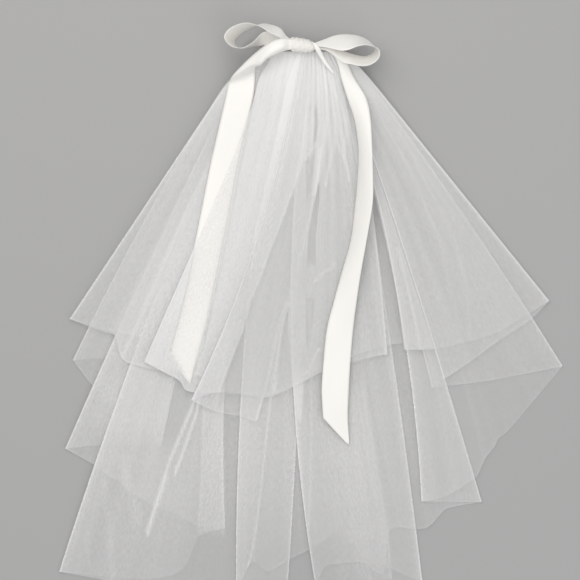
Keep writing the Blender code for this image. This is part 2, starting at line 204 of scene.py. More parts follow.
# Columns: gather, across, drop, belly, shoulder for a fold, and across, drop for a hem point.
# Each fold's row starts a new panel, and the panels lie one over the other in this order.
LOWER_TIER = (
    fold(-57, -219, 431),
    hem(-246, 412),
    hem(-268, 408),
    fold(-79, -309, 411, -9),
    hem(-287, 440),
    hem(-253, 475),
    hem(-225, 499),
    fold(-49, -192, 523, -8),
    hem(-272, 524),
    fold(-73, -319, 529, -4),
    hem(-283, 549),
    hem(-260, 566),
    hem(-246, 573),
    hem(-236, 585),
    hem(-211, 599),
    hem(-194, 610),
    hem(-173, 615),
    hem(-145, 631),
    fold(-31, -107, 635, -28),
    hem(-142, 647),
    hem(-164, 690),
    hem(-215, 702),
    fold(-63, -327, 693, -11),
    hem(-287, 700),
    hem(-207, 713),
    hem(-91, 723),
    fold(-1, -24, 715, 7),
    fold(-33, -91, 720, -16),
    hem(-71, 680),
    hem(-49, 692),
    hem(-20, 676),
    hem(8, 662),
    hem(30, 647),
    hem(44, 636),
    hem(58, 649),
    hem(75, 670),
    hem(100, 682),
    fold(52, 156, 707, 5),
    hem(87, 713),
    fold(7, 15, 713, -29),
    hem(26, 687),
    hem(47, 682),
    hem(77, 681),
    hem(104, 694),
    hem(113, 638),
    hem(149, 636),
    hem(164, 633),
    hem(178, 619),
    hem(191, 608),
    fold(44, 235, 600, 4),
    fold(35, 156, 599, 23),
    hem(187, 592),
    hem(225, 569),
    hem(236, 551),
    hem(241, 540),
    hem(252, 527),
    hem(259, 514),
    hem(275, 500),
    fold(55, 343, 419, 7),
    hem(273, 433),
    hem(232, 440),
    fold(41, 169, 447, 5),
)

UPPER_TIER = (
    fold(-57, -169, 391),
    hem(-204, 383),
    hem(-257, 372),
    hem(-285, 365),
    fold(-76, -313, 356),
    hem(-285, 367),
    hem(-267, 373),
    hem(-252, 379),
    hem(-244, 408),
    hem(-215, 420),
    hem(-160, 430),
    fold(-15, -112, 436),
    hem(-150, 430),
    fold(-32, -214, 413, 0, -33),
    hem(-187, 427),
    hem(-167, 438),
    hem(-155, 452),
    hem(-109, 455),
    hem(-61, 457),
    hem(-39, 453),
    hem(4, 432),
    hem(21, 423),
    hem(77, 408),
    fold(53, 109, 403, 7),
    hem(77, 410),
    hem(21, 427),
    hem(-17, 447),
    hem(-56, 463),
    hem(-64, 491),
    hem(-87, 485),
    hem(-119, 479),
    fold(-5, -151, 464, 20),
    hem(-109, 452),
    hem(-61, 460),
    hem(-39, 457),
    hem(4, 436),
    hem(21, 427),
    hem(77, 400),
    hem(129, 388),
    fold(44, 171, 395),
    fold(35, 133, 397, 13),
    hem(171, 396),
    hem(212, 387),
    hem(252, 375),
    hem(287, 356),
    fold(57, 325, 332),
    hem(300, 357),
    hem(273, 375),
    hem(252, 389),
    hem(221, 412),
    fold(40, 185, 436, 4),
)

# Columns: left across, drop, height, right across, drop, height, crown. In a loop, left is the lower rim.
# A tail's heights are above the tulle under it, and all others above the surface.
LOOP_LEFT = (
    Section(-24.8, -20.5, 34, -24.8, -12, 44, 0),
    Section(-33, -31, 31, -36, -19, 48.5, 1),
    Section(-46, -36, 26, -48, -25, 56, 1),
    Section(-58, -37, 22, -59, -32, 57, 1),
    Section(-70, -31, 19, -74, -37, 55, 0),
    Section(-81, -26, 18, -87, -36, 53, 0),
    Section(-89, -20, 17, -100, -30, 51, 0),
    Section(-93, -14, 16, -107, -21, 49, 0),
    Section(-92, -8, 16, -105, -13, 49, 0),
    Section(-88, -5, 16, -97, -6, 50, 0),
    Section(-82, -4, 17, -85, -4, 52, 0),
    Section(-75, -5, 18.5, -76, -7.5, 51, 0),
    Section(-66, -7, 22, -67, -14, 46, 0),
    Section(-56, -8, 27, -57, -24.5, 40, 0),
    Section(-45, -8.5, 30, -47, -26, 38, 0),
    Section(-34, -8.5, 33, -36, -19, 38.5, 0),
    Section(-25, -7.5, 35, -25, -11, 38, 0),
)

LOOP_RIGHT = (
    Section(15, -12, 37, 15, -6.5, 44, 0),
    Section(27, -16.5, 33, 28, -5, 47, 1),
    Section(38, -21, 30, 39, -2.5, 51, 1),
    Section(49, -23, 27, 50, -0.5, 54, 2),
    Section(60, -23, 24, 59, -2, 54, 2),
    Section(72, -21, 21, 69, -6, 54, 1),
    Section(83, -16, 19, 80, -8, 54, 0),
    Section(90, -9.5, 18, 91, -6, 54, 0),
    Section(92, -4, 18, 98, -2, 54, 0),
    Section(90, 1, 19, 99, 6, 54, 0),
    Section(84, 5, 21, 95, 13, 53, 0),
    Section(77, 6, 23, 86, 18.5, 52, 0),
    Section(68, 4.5, 26, 75, 20, 51, 0),
    Section(59, 2, 29, 62, 17.5, 49, 1),
    Section(50, -1, 31, 51, 15, 47, 1),
    Section(43, -4, 33, 43.5, 9.5, 44.5, 0.5),
    Section(37, -6, 35.5, 37.5, 4.5, 43, 0.5),
    Section(28, -7, 37.5, 29, -0.5, 42, 0),
    Section(15, -7, 38, 15, -4, 41.5, 0),
)

TAIL_LEFT = (
    Section(-21, -16, 23.6, -20, -2, 18.9, 2),
    Section(-30, -17, 29, -29, 0, 20, 7),
    Section(-42, -14, 31, -39, 4, 19, 9),
    Section(-54, -7, 30.5, -51, 10, 18, 10),
    Section(-65, 1.5, 28.5, -58, 16, 15.5, 11),
    Section(-76, 11, 24, -62, 19, 13, 10),
    Section(-87, 22, 19, -64, 20, 11, 8),
    Section(-97, 33, 13, -65, 21, 9.5, 5),
    Section(-101, 41, 2, -66, 28, 1.5, 1),
    Section(-103, 48, 0, -67, 42, 0, 0),
    Section(-106, 62, 0, -69, 61, 0, 0),
    Section(-114, 97, 0.6, -77, 97, 0.2, 0),
    Section(-126, 150, 0.5, -88, 150, 0.2, 0),
    Section(-138, 211, 0, -99, 211, 0, 0),
    Section(-149, 265, 0, -110, 265, 0, 0),
    Section(-160, 318, 0, -121, 318, 0, 0),
    Section(-171, 362, 0, -132, 368, 0, 0),
    Section(-181, 400, 0, -143, 410, 0, 0),
    Section(-178, 408, 0, -147, 422, 0, 0),
    Section(-155, 441, 0, -153, 443, 0, 0),
)

TAIL_RIGHT = (
    Section(17, -3, 1, 18, -8, 1, 0.3),
    Section(28, -1, 0.6, 32, -7, 0.8, 0.3),
    Section(37, 5, 0.5, 44, -1, 1.5, 0.8),
    Section(43, 15, 0.5, 54, 11, 3, 1.5),
    Section(49, 38, 0, 66, 36, 4, 3),
    Section(57, 64, 0, 81, 61, 8, 3),
    Section(66, 92, 0, 87, 90, 15, 3),
    Section(71, 130, 0, 89, 130, 20, 3),
    Section(70, 165, 0, 90, 165, 19, 3),
    Section(67, 200, 0, 90, 200, 17, 3),
    Section(61, 250, 0, 82, 250, 14, 3),
    Section(50, 290, 0, 75, 290, 11, 3),
    Section(39, 330, 0, 69, 330, 7, 2),
    Section(29, 370, 0, 64, 370, 3, 1),
    Section(24, 420, 0, 60, 420, 0, 0),
    Section(22, 455, 0, 58, 455, 0, 0),
    Section(24, 488, 0, 57, 478, 0, 0),
    Section(37, 502, 0, 57, 492, 0, 0),
    Section(57, 523, 0, 59, 523, 0, 0),
)

STRAND = (
    Section(9, -12, 46, 15, -9.5, 46.5, 0.5),
    Section(14, -1, 44.5, 20, -3, 46, 0.5),
    Section(20, 9, 39, 25, 7, 38.5, 0.5),
    Section(28, 20, 33, 32, 18.5, 32.5, 0.4),
    Section(37, 29, 28.5, 39, 28.5, 28, 0.2),
)

# Where the ribbons' ends are drawn into the knot, in the same columns.
LEFT_ROOT_LOW = Section(-15, -13, 37, -15, -9, 42, 0)
LEFT_ROOT_HIGH = Section(-15, -9, 36, -15, -9.5, 40, 0)
RIGHT_ROOT_LOW = Section(8, -9.5, 37, 8, -7, 42, 0)
RIGHT_ROOT_HIGH = Section(8, -8, 38, 8, -6.5, 40, 0)
TAIL_LEFT_ROOT = Section(-12, -14, 20.5, -12, -4, 20.5, 1)


def plan_point(edge, share):
    """Where a line of the tulle is, across and drop, at shares of its way from the gather to the hem."""
    share = np.asarray(share, dtype=float)
    drop = edge.drop * share
    across = edge.gather + (edge.across - edge.gather) * share + edge.belly * 4 * share * (1 - share)
    across = across + edge.shoulder * np.exp(-drop / SHOULDER_DEPTH)
    pinch = np.where(across < 0, PINCH_LEFT, PINCH_RIGHT)
    return np.stack([across * (1 - pinch * np.exp(-((drop / PINCH_DEPTH) ** 2))), drop], axis=-1)


def moved(path, aside):
    """A path moved across."""
    return tuple((across + aside, drop) for across, drop in path)


def fold_line(table, number, aside=0.0, first=0.0, last=POUF_END):
    """The line of a tier's fold between two drops, moved across."""
    edge = [row for row in table if row.fold][number]
    line = plan_point(edge, np.linspace(0, 1, FOLD_LINE_STEPS))
    return moved([(across, drop) for across, drop in line if first <= drop <= last], aside)


def from_above(path):
    """A path with a point well above it, so that a band along it has its full strength at its top."""
    return ((path[0][0], -POUF_END), *path)


# Lines where the net is pressed or doubled. Columns: tier, panels, strength, width, glow beside it, then
# the points it passes.
CREASES = (
    # The upper tier: its left fan, the lower middle, the right fan, the strands below the knot and some
    # short ones among them
    Crease("upper", (1,), 0.8, 2.2, 0.3,
           ((-100, 90), (-120, 130), (-160, 217), (-187, 280), (-209, 331), (-245, 412))),
    Crease("upper", (5,), 0.35, 1.4, 0.5, fold_line(UPPER_TIER, 5, 0.0, 300, 470)),
    Crease("upper", (4,), 0.9, 2.0, 0.3,
           ((-25, 333), (-36, 371), (-44, 411), (-52, 445), (-57, 461), (-65, 491))),
    Crease("upper", (5,), 0.7, 1.8, 0.3, ((-22, 336), (-32, 371), (-37, 411), (-40, 432), (-42, 452))),
    Crease("upper", (7,), 0.8, 2.4, 0.3, ((124, 264), (140, 331), (153, 391), (169, 445))),
    Crease("upper", (7,), 0.6, 2.4, 0.3, ((127, 131), (180, 251), (193, 317), (207, 371))),
    Crease("upper", (7,), 0.6, 2.4, 0.3, ((140, 131), (200, 251), (216, 317), (220, 397))),
    Crease("upper", (5,), 0.8, 2.2, 0.2, ((17, 20), (25, 55), (28, 80), (27, 109), (20, 145), (12, 190))),
    Crease("upper", (5,), 0.9, 2.2, 0.2,
           ((20, 20), (31, 55), (38, 73), (41, 88), (41, 109), (37, 132), (31, 154), (28, 176))),
    Crease("upper", (5,), 0.9, 2.2, 0.2,
           ((24, 20), (40, 55), (49, 73), (53, 88), (55, 103), (53, 121), (52, 140))),
    Crease("upper", (5,), 0.7, 1.8, 0.1, ((41, 118), (52, 142), (56, 154), (60, 172))),
    Crease("upper", (5,), 1.0, 1.6, 0.0, ((0, 143), (8, 131), (16, 122))),
    Crease("upper", (5,), 0.8, 2.0, 0.1, ((13, 304), (27, 293), (40, 283))),
    Crease("upper", (5,), 0.7, 2.0, 0.1, ((18, 396), (5, 424), (1, 430))),
    # The lower tier: its left fan, the narrow rolled fold, the middle, the bottom left, right of the middle
    Crease("lower", (3,), 0.5, 2.4, 0.3,
           ((-133, 104), (-160, 164), (-187, 217), (-213, 280), (-256, 371), (-319, 515))),
    Crease("lower", (3,), 0.8, 1.8, 0.0, ((-243, 544), (-236, 581))),
    Crease("lower", (5,), 1.3, 3.8, 0.0, ((-186, 568), (-194, 594), (-209, 638))),
    Crease("lower", (5,), 3.0, 1.3, 0.0, ((-146, 460), (-151, 475), (-180, 544), (-209, 637))),
    Crease("lower", (5,), 3.0, 1.3, 0.0, ((-142, 462), (-144, 480), (-171, 557), (-177, 562))),
    Crease("lower", (8,), 1.3, 1.5, 0.1,
           ((6, 330), (8, 429), (8.5, 517), (7.6, 565), (5.7, 612), (5, 634))),
    Crease("lower", (7,), 1.3, 1.5, 0.15,
           ((-20, 317), (-43, 437), (-51.5, 517), (-56, 555.5), (-60, 597), (-64.8, 631.6), (-70.7, 665),
            (-80, 704))),
    Crease("lower", (5,), 0.6, 1.6, 0.0, ((-40, 669), (-44, 704))),
    Crease("lower", (5,), 0.5, 5.0, 0.0, ((-268, 570), (-260, 640), (-256, 712))),
    Crease("lower", (5,), 0.45, 7.0, 0.0, ((-244, 540), (-232, 590), (-222, 625))),
    Crease("lower", (5,), 0.3, 4.0, 0.0, ((-292, 640), (-287, 700))),
    Crease("lower", (8,), 0.5, 1.4, 0.1,
           ((53, 237), (81, 449), (92, 517), (99, 565), (105, 603), (111.5, 637), (114, 679), (116, 704))),
)

# The pouf's two sides, and the left tail's two rims where it lies under the net
POUF_LEFT = ((-45, 0), (-52, 12), (-66, 38), (-74, 71), (-84, 110), (-104, 156), (-145, 250), (-214, 413))
POUF_RIGHT = (
    (12, 0), (9, 51), (3, 82), (0, 138), (-7, 154), (-14, 178), (-24, 207), (-33, 231), (-50, 274),
    (-57, 296), (-73, 333), (-83, 371), (-93, 397), (-111, 445), (-119, 480),
)
TAIL_OUTER_RIM = (
    (-60, 40), (-74, 71), (-84, 110), (-104, 156), (-143, 240), (-149, 265), (-160, 318), (-171, 362),
    (-181, 399), (-153, 441),
)
TAIL_INNER_RIM = (
    (-67, 40), (-69, 61), (-77, 97), (-88, 150), (-99, 211), (-110, 265), (-121, 318), (-132, 368),
    (-143, 410),
)

# Stretches between two lines where the net lies thicker, or thinner below zero. Columns: tier, panels,
# strength, how far in it has its full strength from the left and from the right line, how bright the lines
# are, how far from its two ends it has its full strength, and the two lines.
BANDS = (
    # The pouf, kept even where panels begin inside it
    Band("upper", (2, 3), 0.7, 9, 1.6, 0.35, 12, POUF_LEFT, POUF_RIGHT),
    Band("upper", (4, 5), 0.4, 9, 1.6, 0.35, 12, POUF_LEFT, POUF_RIGHT),
    Band("upper", (4, 5), -1.0, 0.1, 30, 0.0, 120,
         from_above(fold_line(UPPER_TIER, 5)), from_above(fold_line(UPPER_TIER, 5, 30))),
    Band("upper", (3,), 0.62, 1.5, 30, 0.0, 120,
         from_above(fold_line(UPPER_TIER, 2)), from_above(fold_line(UPPER_TIER, 5, 30))),
    # The bright strand in the middle and the narrow slits beside it
    Band("upper", (5,), 0.7, 1.6, 1.6, 0.3, 12,
         ((17, 120), (12, 154), (7, 199), (-2, 251), (-5, 273)),
         ((24, 120), (20, 166), (12, 199), (4, 243), (4, 273))),
    Band("upper", (3, 4, 5), -0.5, 1.8, 2.4, 0.0, 16,
         ((11, 62), (12, 92), (10, 122)),
         ((17, 62), (19.5, 92), (15, 126))),
    Band("upper", (3, 4, 5), -0.35, 1.6, 3, 0.0, 12,
         ((2, 134), (0, 150), (1, 204)),
         ((14, 134), (12, 158), (3, 210))),
    Band("upper", (3, 4, 5), -0.7, 1.4, 1.4, 0.0, 12,
         ((19, 166), (12, 201), (4, 243), (2, 280)),
         ((20, 166), (20, 199), (15, 243), (15, 290))),
    # The gaps below them, down to the upper tier's hem
    Band("upper", (3, 4, 5), -0.26, 1.4, 1.6, 0.0, 16,
         POUF_RIGHT[5:],
         ((-13, 178), (-15, 217), (-16, 275), (-21, 328), (-26, 400), (-50, 480))),
    Band("upper", (3, 4, 5), -0.12, 1.4, 1.4, 0.0, 12,
         ((-83, 371), (-93, 397), (-111, 445), (-119, 492)),
         ((-81, 371), (-84, 397), (-87, 445), (-87, 492))),
    Band("upper", (3, 4, 5), -0.4, 1.4, 1.4, 0.0, 12,
         ((-22, 334), (-31, 371), (-36, 430), (-40, 456)),
         ((-21, 334), (-22, 371), (-19, 420), (-17, 456))),
    Band("upper", (3, 4, 5), -0.45, 2.4, 1.6, 0.0, 12,
         ((0, 320), (0, 375), (2, 400)),
         ((12, 305), (13, 340), (8, 384), (4, 400))),
    # Strips of the lower tier, most of them below the upper one's hem
    Band("lower", (5,), 0.55, 1.2, 1.6, 0.4, 3,
         ((-136, 475), (-137, 531), (-143, 645)),
         ((-110, 475), (-108, 557), (-107, 640))),
    Band("lower", (7,), 0.2, 1.6, 1.6, 0.0, 12,
         ((-60, 317), (-86, 450), (-91, 720)),
         ((-20, 317), (-43, 437), (-53, 531), (-61, 609), (-82, 703))),
    Band("lower", (8,), 0.95, 75, 1.4, 0.0, 12,
         ((8, 437), (5, 604), (15, 713)),
         ((60, 300), (81, 449), (92, 517), (99, 565), (105, 603), (111.5, 637), (116, 704))),
    Band("lower", (7, 8, 9), 0.7, 1.6, 1.6, 0.3, 12,
         ((-16, 420), (-14, 452), (-7, 498)),
         ((-2, 420), (-3, 452), (-6, 498))),
    Band("lower", (3, 4, 5), -0.35, 1.6, 6, 0.0, 40,
         ((-170, 400), (-192, 523), (-200, 545)),
         ((-146, 400), (-151, 475), (-180, 544))),
    Band("lower", (2,), 0.9, 40, 1.4, 0.0, 30,
         fold_line(LOWER_TIER, 2, -110, 420, 530), fold_line(LOWER_TIER, 2, 0, 420, 530)),
    # The net over the left tail, thinned to show it, and a painted shadow beside it
    # Thinned partly because less net lies over the tail and partly as painted light, so the net's shadow
    # doesn't dim the tail
    Band("upper", (2, 3), -0.82, 1.6, 1.6, 0.0, 2, TAIL_OUTER_RIM, (*TAIL_INNER_RIM, (-151, 441))),
    # A painted shadow: the net thinned beside the tail's inner rim, so a darker line shows on the pouf
    Band("upper", (2, 3), -0.35, 1.0, 4.0, 0.0, 20, TAIL_INNER_RIM, moved(TAIL_INNER_RIM, 6)),
)

# Soft places where the net is gathered closer, or less close below zero. Columns: tier, strength, middle
# across and drop, half width, half length, how far it leans across on its way down.
SWELLS = (
    Swell("lower", 0.6, -33, 131, 48, 190, -0.45),
    Swell("upper", 0.6, -33, 131, 48, 190, -0.45),
    Swell("upper", 0.7, -183, 377, 55, 130, -0.45),
    Swell("lower", 0.5, -183, 377, 55, 130, -0.45),
    Swell("upper", 0.6, 20, 70, 34, 80, 0.0),
    Swell("lower", 0.4, 20, 70, 34, 80, 0.0),
    Swell("upper", 0.7, -168, 265, 42, 130, -0.5),
    Swell("lower", 0.6, -168, 265, 42, 130, -0.5),
    Swell("lower", 0.4, -240, 600, 80, 110, -0.2),
    Swell("lower", 0.5, -20, 510, 130, 110, 0.0),
    Swell("lower", -0.35, -20, 730, 110, 90, 0.0),
)


def smooth(values, position):
    """A soft curve through the values, read at a fractional position."""
    last = len(values) - 1
    index = min(int(position), last - 1)
    share = position - index
    before = values[max(index - 1, 0)]
    start = values[index]
    end = values[index + 1]
    after = values[min(index + 2, last)]
    slope_in = (end - before) / 2
    slope_out = (after - start) / 2
    square = share * share
    cube = square * share
    return ((2 * cube - 3 * square + 1) * start + (cube - 2 * square + share) * slope_in
            + (3 * square - 2 * cube) * end + (cube - square) * slope_out)


def panels_of(kind, table):
    """The tier's panels, each as its lines from one fold to the next and their places along the hem."""
    ends = [number for number, row in enumerate(table) if row.fold]
    panels = []
    for panel, (first, last) in enumerate(zip(ends, ends[1:])):
        rows = table[first:last + 1]
        points = np.array([(row.across, row.drop) for row in rows], dtype=float)
        lengths = np.linalg.norm(np.diff(points, axis=0), axis=1)
        reached = np.concatenate(([0.0], np.cumsum(lengths)))
        total = reached[-1]
        count = max(LEAST_COLUMNS, math.ceil(total / FINER_PANELS[kind].get(panel, COLUMN_PITCH)))
        beside = np.array(BESIDE_FOLD)
        stops = np.unique(np.concatenate((np.linspace(0, total, count + 1), beside, total - beside)))
        lines = []
        for stop in stops[:-1]:
            position = float(np.interp(stop, reached, range(len(reached))))
            along = stop / total
            across, drop = smooth(points, position)
            gather = rows[0].gather + (rows[-1].gather - rows[0].gather) * along
            belly = rows[0].belly + (rows[-1].belly - rows[0].belly) * along
            shoulder = rows[0].shoulder + (rows[-1].shoulder - rows[0].shoulder) * along
            lines.append(Edge(gather, across, drop, belly, shoulder, False))
        lines[0] = rows[0]
        lines.append(rows[-1])
        panels.append((lines, stops))
    return panels


def outline_of(lines):
    """The panel's outline in plan: down its first fold, along the hem, up its last fold."""
    shares = np.linspace(0, 1, OUTLINE_STEPS)
    step = max(1, len(lines) // OUTLINE_HEM_STEPS)
    down = plan_point(lines[0], shares)
    along = [plan_point(line, 1.0) for line in lines[step:-1:step]]
    up = plan_point(lines[-1], shares[::-1])
    return np.array([*down, *along, *up])


def squared_distance(points, first, second):
    """The square of each point's distance from the straight stretch between two points."""
    side = second - first
    offset = points - first
    share = np.clip(offset @ side / max(side @ side, TINY), 0, 1)
    return ((offset - share[:, None] * side) ** 2).sum(axis=1)


def cover(points, outline, reach):
    """1 for a point over the outline, easing to 0 at the reach outside it, further down the veil."""
    points = points * (1.0, REACH_DOWN)
    start = outline * (1.0, REACH_DOWN)
    end = np.roll(start, -1, axis=0)
    best = np.full(len(points), np.inf)
    crossings = np.zeros(len(points), dtype=int)
    level = points[:, 1]
    for first, second in zip(start, end):
        best = np.minimum(best, squared_distance(points, first, second))
        side = second - first
        if side[1] != 0:
            across = first[0] + (level - first[1]) * (side[0] / side[1])
            crossings += ((first[1] > level) != (second[1] > level)) & (points[:, 0] < across)
    fade = np.clip(np.sqrt(best) / reach, 0, 1)
    return np.where(crossings % 2 == 1, 1.0, 1 - fade * fade * (3 - 2 * fade))


class Stack:
    """What already lies on the surface: each layer lifts those that come after it."""

    def __init__(self):
        self.layers = []

    def add(self, outline, thickness, reach=LAYER_REACH):
        self.layers.append((outline, thickness, reach))

    def copy(self):
        same = Stack()
        same.layers = list(self.layers)
        return same

    def height(self, points):
        total = np.zeros(len(points))
        for outline, thickness, reach in self.layers:
            total += thickness * cover(points, outline, reach)
        return total


def pouf(points):
    """Height of the upper tier's soft swell."""
    aside = (points[:, 0] - POUF_ACROSS - POUF_LEAN * (POUF_DROP - points[:, 1])) / POUF_HALF_WIDTH
    along = (points[:, 1] - POUF_DROP) / POUF_HALF_LENGTH
    return POUF_HEIGHT * np.maximum(0.0, 1 - aside * aside - along * along) ** 2


def fan_place(across, drop):
    """A point's place among the lines that fan out from the gather: -1 is near the left side, 1 the right."""
    return across / (FAN_WIDTH + FAN_SPREAD * np.maximum(drop, 0))


def ruck(points):
    """Height of the soft gathers that run down from the comb, the same for every layer over a point.

    They are three waves across the fan, each bent so that it doesn't repeat.
    """
    drop = points[:, 1]
    below = np.maximum(drop, 0)
    place = fan_place(points[:, 0], drop)
    among_streaks = np.exp(-(((place - STREAK_PLACE) / STREAK_SPREAD) ** 2))
    fade = np.exp(-below / RUCK_REACH) * (RUCK_LEAST + (1 - RUCK_LEAST) * among_streaks)
    middling = np.sin(31 * place + 1.9 * np.sin(7 * place + 0.4)) * 0.5
    fine = np.sin(53 * place + 0.9 + 2.6 * np.sin(9 * place)) * 0.26 * (0.6 + 0.8 * np.sin(17 * place + 1.0))
    broad = np.sin(13 * place + 2.0 + drop / 260) * 0.6
    return RUCK_HEIGHT * (1 + (middling + fine + broad)) * fade * (1 - np.exp(-below / RUCK_START))


def path_distance(points, path):
    """Distance from each point to a bent line."""
    path = np.array(path, dtype=float)
    best = np.full(len(points), np.inf)
    for first, second in zip(path, path[1:]):
        best = np.minimum(best, squared_distance(points, first, second))
    return np.sqrt(best)


def swell_weight(plan, swelling):
    """How much closer the net is gathered at each point of a panel."""
    along = (plan[:, :, 1] - swelling.drop) / swelling.half_length
    middle = swelling.across + swelling.lean * (plan[:, :, 1] - swelling.drop)
    aside = (plan[:, :, 0] - middle) / swelling.half_width
    return swelling.strength * np.exp(-aside * aside - along * along)


def band_weight(points, band):
    """How much thicker the net looks at each point for a band that it may lie in."""
    left = np.array(band.left, dtype=float)
    right = np.array(band.right, dtype=float)
    drop = points[:, 1]
    start = np.interp(drop, left[:, 1], left[:, 0])
    end = np.interp(drop, right[:, 1], right[:, 0])
    inside = (np.clip((points[:, 0] - start) / band.edge_left, 0, 1)
              * np.clip((end - points[:, 0]) / band.edge_right, 0, 1))
    fade = (np.clip((drop - left[0, 1]) / band.fade, 0, 1)
            * np.clip((max(left[-1, 1], right[-1, 1]) - drop) / band.fade, 0, 1))
    line = np.exp(-((points[:, 0] - end) / LINE_WIDTH) ** 2)
    if band.edge_left < LINE_WIDTH * 2:
        line = line + np.exp(-((points[:, 0] - start) / LINE_WIDTH) ** 2)
    return (inside * band.strength + line * band.line) * fade


def world(points):
    """Points of the tables in the part's frame, in metres."""
    points = np.asarray(points, dtype=float)
    return np.stack([GATHER_X + points[:, 0], GATHER_Y - points[:, 1], points[:, 2]], axis=-1) * MM


def grid_object(name, points, columns, rows, material):
    """A sheet through a grid of points, given column by column."""
    mesh = bpy.data.meshes.new(name)
    corner = (np.arange(columns - 1)[:, None] * rows + np.arange(rows - 1)[None, :]).ravel()
    faces = np.stack([corner, corner + 1, corner + rows + 1, corner + rows], axis=-1)
    mesh.vertices.add(len(points))
    mesh.vertices.foreach_set("co", points.astype(np.float32).ravel())
    mesh.loops.add(faces.size)
    mesh.loops.foreach_set("vertex_index", faces.ravel().astype(np.int32))
    mesh.polygons.add(len(faces))
    mesh.polygons.foreach_set("loop_start", np.arange(0, faces.size, 4, dtype=np.int32))
    mesh.update(calc_edges=True)
    mesh.validate()
    mesh.shade_smooth()
    mesh.materials.append(material)
    thing = bpy.data.objects.new(name, mesh)
    bpy.context.scene.collection.objects.link(thing)
    return thing


def set_uv(thing, name, values):
    """A UV map from one pair of numbers a vertex."""
    mesh = thing.data
    layer = mesh.uv_layers.new(name=name)
    index = np.empty(len(mesh.loops), dtype=np.int32)
    mesh.loops.foreach_get("vertex_index", index)
    layer.data.foreach_set("uv", values[index].astype(np.float32).ravel())


def set_number(thing, name, values):
    """A number of its own for each vertex."""
    layer = thing.data.attributes.new(name, "FLOAT", "POINT")
    layer.data.foreach_set("value", values.astype(np.float32))


def row_shares(kind):
    """The shares of the way from the gather to the hem that a tier's rows are at, close at the cut edge."""
    return np.unique(np.concatenate((np.linspace(0, 1, FINE_ROWS[kind]) ** ROW_CROWDING, ROWS_AT_HEM)))


def rims(sections):
    """A ribbon's outline in plan: down its left rim and up its right rim."""
    down = [(section.left_across, section.left_drop) for section in sections]
    up = [(section.right_across, section.right_drop) for section in reversed(sections)]
    return np.array(down + up, dtype=float)


def panel_density(kind, panel, lines, plan, shares):
    """How much denser than flat net a panel of a tier looks at each of its points."""
    flat = plan.reshape(-1, 2)
    drop = plan[:, :, 1]
    begun = 1 - np.exp(-((drop / FOLD_LINE_START) ** 2))
    dense = np.ones(drop.shape)
    for number, edge in ((panel, plan[:1]), (panel + 1, plan[-1:])):
        near = np.linalg.norm(plan - edge, axis=2)
        shows = FOLD_SHOWS[kind].get(number, 1.0) * begun
        dense = dense + FOLD_LINE * shows * np.exp(-((near / FOLD_LINE_WIDTH) ** 2))
        dense = dense + FOLD_GLOW * shows * np.exp(-near / FOLD_GLOW_WIDTH)
    to_hem = np.array([line.drop for line in lines])[:, None] * (1 - shares)[None, :]
    dense = dense + HEM_LINE * np.exp(-((to_hem / HEM_LINE_WIDTH) ** 2))
    dense = dense + GATHER_GLOW * np.exp(-drop / GATHER_GLOW_DROP)
    aside = (fan_place(plan[:, :, 0], drop) - POUF_GLOW_PLACE) / POUF_GLOW_SPREAD
    dense = dense + POUF_GLOW * np.exp(-drop / POUF_GLOW_DROP - aside * aside)
    for swelling in SWELLS:
        if swelling.tier == kind:
            dense = dense * (1 + swell_weight(plan, swelling))
    for crease in CREASES:
        if crease.tier == kind and panel in crease.panels:
            away = path_distance(flat, crease.path).reshape(drop.shape)
            dense = dense + crease.strength * np.exp(-((away / crease.width) ** 2))
            dense = dense + crease.glow * crease.strength * np.exp(-away / CREASE_GLOW_WIDTH)
    for band in BANDS:
        if band.tier == kind and panel in band.panels:
            dense = dense * (1 + band_weight(flat, band)).reshape(drop.shape)
    return dense


def tier(name, kind, table, stack, swell, material, tucked=None):
    """One cloth of tulle, zigzagging from fold to fold, each panel over the ones before it.

    An outline that is tucked in lies on the tuck panel. What lies under it there is returned.
    """
    under = None
    shares = row_shares(kind)
    rows = len(shares)
    columns = []
    density = []
    cloth = []
    reached = 0.0
    previous = None
    heading = 1
    for panel, (lines, stops) in enumerate(panels_of(kind, table)):
        plan = np.stack([plan_point(line, shares) for line in lines])
        flat = plan.reshape(-1, 2)
        heights = stack.height(flat) + TULLE_WALL / 2 + ruck(flat)
        if swell:
            heights = heights + pouf(flat)
        heights = heights.reshape(len(lines), rows)
        dense = panel_density(kind, panel, lines, plan, shares)
        if previous is not None:
            turn = turn_columns(plan[0], heading, previous, heights[0])
            columns += turn
            density += [dense[0] * FOLD_SHOWS[kind].get(panel, 1.0)] * len(turn)
            cloth += [np.stack([np.full(rows, reached), shares * lines[0].drop], axis=-1)] * len(turn)
        heading = 1 if lines[-1].across > lines[0].across else -1
        columns += [np.column_stack((plan[number], heights[number])) for number in range(len(lines))]
        density += list(dense)
        cloth += [np.stack([np.full(rows, reached + stops[number]), shares * line.drop], axis=-1)
                  for number, line in enumerate(lines)]
        reached += stops[-1]
        previous = heights[-1]
        stack.add(outline_of(lines), LAYER_PITCH)
        if tucked is not None and panel == TUCK_PANEL:
            under = stack.copy()
            stack.add(tucked, LAYER_PITCH)
    points = world(np.concatenate(columns))
    piece = grid_object(name, points, len(columns), rows, material)
    set_uv(piece, "cloth", np.concatenate(cloth) * MM)
    set_number(piece, "net_weight", np.concatenate(density))
    spots = np.concatenate(columns)
    aside = (fan_place(spots[:, 0], spots[:, 1]) - STREAK_PLACE) / STREAK_SPREAD
    set_number(piece, "net_streak", STREAK_LEAST + np.exp(-aside * aside - spots[:, 1] / STREAK_DROP))
    return piece, under


